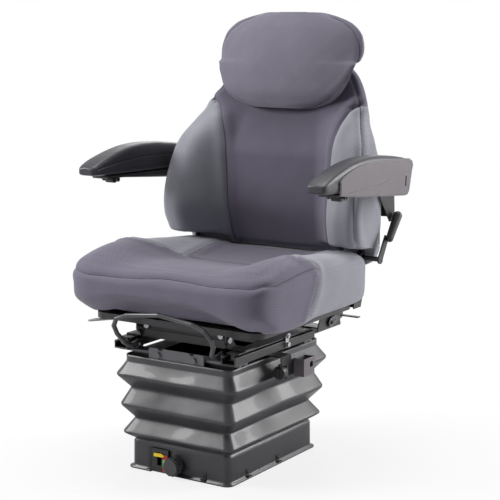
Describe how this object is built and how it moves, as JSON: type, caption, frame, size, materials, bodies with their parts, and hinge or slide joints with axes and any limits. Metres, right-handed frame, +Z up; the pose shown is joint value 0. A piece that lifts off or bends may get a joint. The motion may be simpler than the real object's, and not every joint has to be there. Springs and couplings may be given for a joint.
{
  "type": "machine seat",
  "caption": "Sprung operator seat for farm machines: scissor suspension in a rubber gaiter, slide rails, contoured cushion, reclining back, folding armrests and head restraint.",
  "frame": {"origin": "middle of the four base fixing holes, on the floor face of the base", "axes": "+Z up, the front of the seat faces -Y, +X to the sitter's left"},
  "size_m": [0.7, 0.6201, 1.0579],
  "materials": {
    "black_steel": "satin black paint",
    "zinc_steel": "bright zinc plate",
    "shaft_steel": "ground steel",
    "handle_steel": "light grey paint",
    "gaiter_rubber": "dull moulded rubber",
    "black_plastic": "fine grain",
    "grey_plastic": "fine grain",
    "taupe_plastic": "fine grain",
    "natural_plastic": "plain",
    "yellow_plastic": "gloss",
    "scale_print": "red and green print",
    "spring_steel": "oiled spring steel",
    "seat_cloth": "woven cloth, dark centre and lighter sides",
    "head_cloth": "woven cloth",
    "armrest_skin": "soft integral skin foam"
  },
  "bodies": {
    "base": {"base_pan": "black_steel", "base_tracks": "black_steel", "base_pivot_shaft": "shaft_steel", "gaiter": "gaiter_rubber", "gaiter_clips": "black_plastic", "indicator_housing": "black_plastic", "indicator_scale": "scale_print", "damper_tube": "black_steel", "suspension_springs": "spring_steel"},
    "pointer": {"height_pointer": "yellow_plastic"},
    "weight_control": {"weight_knob": "grey_plastic", "weight_spindle": "shaft_steel"},
    "preload_bar": {"spring_seat": "black_steel"},
    "outer_scissor": {"outer_arms": "black_steel", "outer_shafts": "shaft_steel"},
    "upper_roller_pair": {"upper_rollers": "natural_plastic"},
    "upper_frame": {"upper_frame": "black_steel", "upper_tracks": "black_steel", "upper_pivot_shaft": "shaft_steel", "front_plate": "black_steel", "rail_crossbars": "black_steel", "lower_rails": "black_steel", "rail_stops": "zinc_steel", "isolator_bracket": "black_steel", "isolator_housing": "taupe_plastic", "damper_rod": "shaft_steel"},
    "inner_scissor": {"inner_arms": "black_steel", "inner_shaft": "shaft_steel"},
    "lower_roller_pair": {"lower_rollers": "natural_plastic"},
    "isolator": {"isolator_knob": "black_plastic"},
    "carriage": {"upper_rails": "black_steel", "rail_glides": "natural_plastic", "front_member": "black_steel", "rear_member": "black_steel", "member_bolts": "zinc_steel"},
    "slide_handle": {"slide_handle": "handle_steel"},
    "seat": {"seat_pan": "black_steel", "tilt_pins": "zinc_steel", "recliner_lower": "black_steel", "seat_cushion": "seat_cloth"},
    "tilt_handle": {"tilt_handle": "zinc_steel"},
    "tilt_lever": {"tilt_lever": "zinc_steel"},
    "backrest": {"back_shell": "black_plastic", "back_cushion": "seat_cloth", "post_tubes": "black_plastic", "recliner_upper": "black_steel", "armrest_brackets": "black_steel", "armrest_pins": "zinc_steel"},
    "recline_lever": {"recline_lever": "black_plastic", "recline_shaft": "shaft_steel"},
    "armrest_left": {"armrest_pad_left": "armrest_skin", "armrest_frame_left": "black_plastic", "armrest_cover_left": "taupe_plastic"},
    "armrest_right": {"armrest_pad_right": "armrest_skin", "armrest_frame_right": "black_plastic", "armrest_cover_right": "taupe_plastic"},
    "wheel_left": {"armrest_wheel_left": "black_plastic"},
    "wheel_right": {"armrest_wheel_right": "black_plastic"},
    "head_restraint": {"head_posts": "shaft_steel", "head_cushion": "head_cloth"}
  },
  "joints": [
    {"name": "suspension", "type": "slide", "parent": "base", "child": "upper_frame", "axis": [0, 0, 1], "range_m": [-0.08, 0], "stiffness_N_per_m": 5000, "springref_m": 0.12, "deforming": ["gaiter", "suspension_springs"]},
    {"name": "outer_arm_hinge", "type": "hinge", "parent": "base", "child": "outer_scissor", "pos_m": [0, 0.145, 0.045], "axis": [1, 0, 0], "range_deg": [0, 18.2]},
    {"name": "upper_roller_spin", "type": "hinge", "parent": "outer_scissor", "child": "upper_roller_pair", "pos_m": [0, -0.08716, 0.235], "axis": [1, 0, 0], "continuous": true},
    {"name": "inner_arm_hinge", "type": "hinge", "parent": "upper_frame", "child": "inner_scissor", "pos_m": [0, 0.145, 0.235], "axis": [-1, 0, 0], "range_deg": [0, 18.2]},
    {"name": "lower_roller_spin", "type": "hinge", "parent": "inner_scissor", "child": "lower_roller_pair", "pos_m": [0, -0.08716, 0.045], "axis": [1, 0, 0], "continuous": true},
    {"name": "pointer_slide", "type": "slide", "parent": "base", "child": "pointer", "axis": [0, 0, 1], "range_m": [-0.0201, 0]},
    {"name": "weight_knob_turn", "type": "hinge", "parent": "base", "child": "weight_control", "pos_m": [-0.005, -0.2, 0.028], "axis": [0, 1, 0], "range_deg": [0, 1440]},
    {"name": "preload_slide", "type": "slide", "parent": "base", "child": "preload_bar", "axis": [0, 1, 0], "range_m": [0, 0.00599], "deforming": ["suspension_springs"]},
    {"name": "isolator_turn", "type": "hinge", "parent": "upper_frame", "child": "isolator", "pos_m": [0.1935, -0.053, 0.247], "axis": [0, 1, 0], "range_deg": [0, 40]},
    {"name": "fore_aft_slide", "type": "slide", "parent": "upper_frame", "child": "carriage", "axis": [0, 1, 0], "range_m": [-0.075, 0.075]},
    {"name": "slide_handle_lift", "type": "hinge", "parent": "carriage", "child": "slide_handle", "pos_m": [0, -0.184, 0.301], "axis": [-1, 0, 0], "range_deg": [0, 7], "stiffness_Nm_per_rad": 1.5, "springref_deg": -5.73},
    {"name": "seat_tilt", "type": "hinge", "parent": "carriage", "child": "seat", "pos_m": [0, -0.165, 0.335], "axis": [1, 0, 0], "range_deg": [0, 3.6]},
    {"name": "tilt_handle_swing", "type": "hinge", "parent": "seat", "child": "tilt_handle", "pos_m": [-0.188, -0.15, 0.3475], "axis": [0, 0, 1], "range_deg": [0, 12], "stiffness_Nm_per_rad": 0.4},
    {"name": "tilt_lever_lift", "type": "hinge", "parent": "seat", "child": "tilt_lever", "pos_m": [0.2085, 0.15, 0.328], "axis": [1, 0, 0], "range_deg": [0, 12], "stiffness_Nm_per_rad": 0.6, "springref_deg": -5.73},
    {"name": "recline", "type": "hinge", "parent": "seat", "child": "backrest", "pos_m": [0, 0.236, 0.476], "axis": [-1, 0, 0], "range_deg": [0, 20]},
    {"name": "recline_lever_pull", "type": "hinge", "parent": "backrest", "child": "recline_lever", "pos_m": [0, 0.236, 0.476], "axis": [-1, 0, 0], "range_deg": [0, 15], "stiffness_Nm_per_rad": 4, "springref_deg": -6.88},
    {"name": "armrest_left_fold", "type": "hinge", "parent": "backrest", "child": "armrest_left", "pos_m": [-0.32, 0.262, 0.65], "axis": [-1, 0, 0], "range_deg": [0, 95]},
    {"name": "armrest_right_fold", "type": "hinge", "parent": "backrest", "child": "armrest_right", "pos_m": [0.32, 0.262, 0.65], "axis": [-1, 0, 0], "range_deg": [0, 95]},
    {"name": "wheel_left_turn", "type": "hinge", "parent": "armrest_left", "child": "wheel_left", "pos_m": [-0.319, -0.02, 0.656], "axis": [1, 0, 0], "range_deg": [-180, 180]},
    {"name": "wheel_right_turn", "type": "hinge", "parent": "armrest_right", "child": "wheel_right", "pos_m": [0.319, -0.02, 0.656], "axis": [1, 0, 0], "range_deg": [-180, 180]},
    {"name": "head_restraint_slide", "type": "slide", "parent": "backrest", "child": "head_restraint", "axis": [0, 0.1736, 0.9848], "range_m": [0, 0.08]}
  ],
  "couplings": [
    {"joint": "outer_arm_hinge", "follows": "suspension", "rad_per_m": -3.941},
    {"joint": "inner_arm_hinge", "follows": "suspension", "rad_per_m": -3.941},
    {"joint": "pointer_slide", "follows": "suspension", "ratio": 0.25},
    {"joint": "weight_knob_turn", "follows": "preload_slide", "rad_per_m": 4188.8}
  ]
}
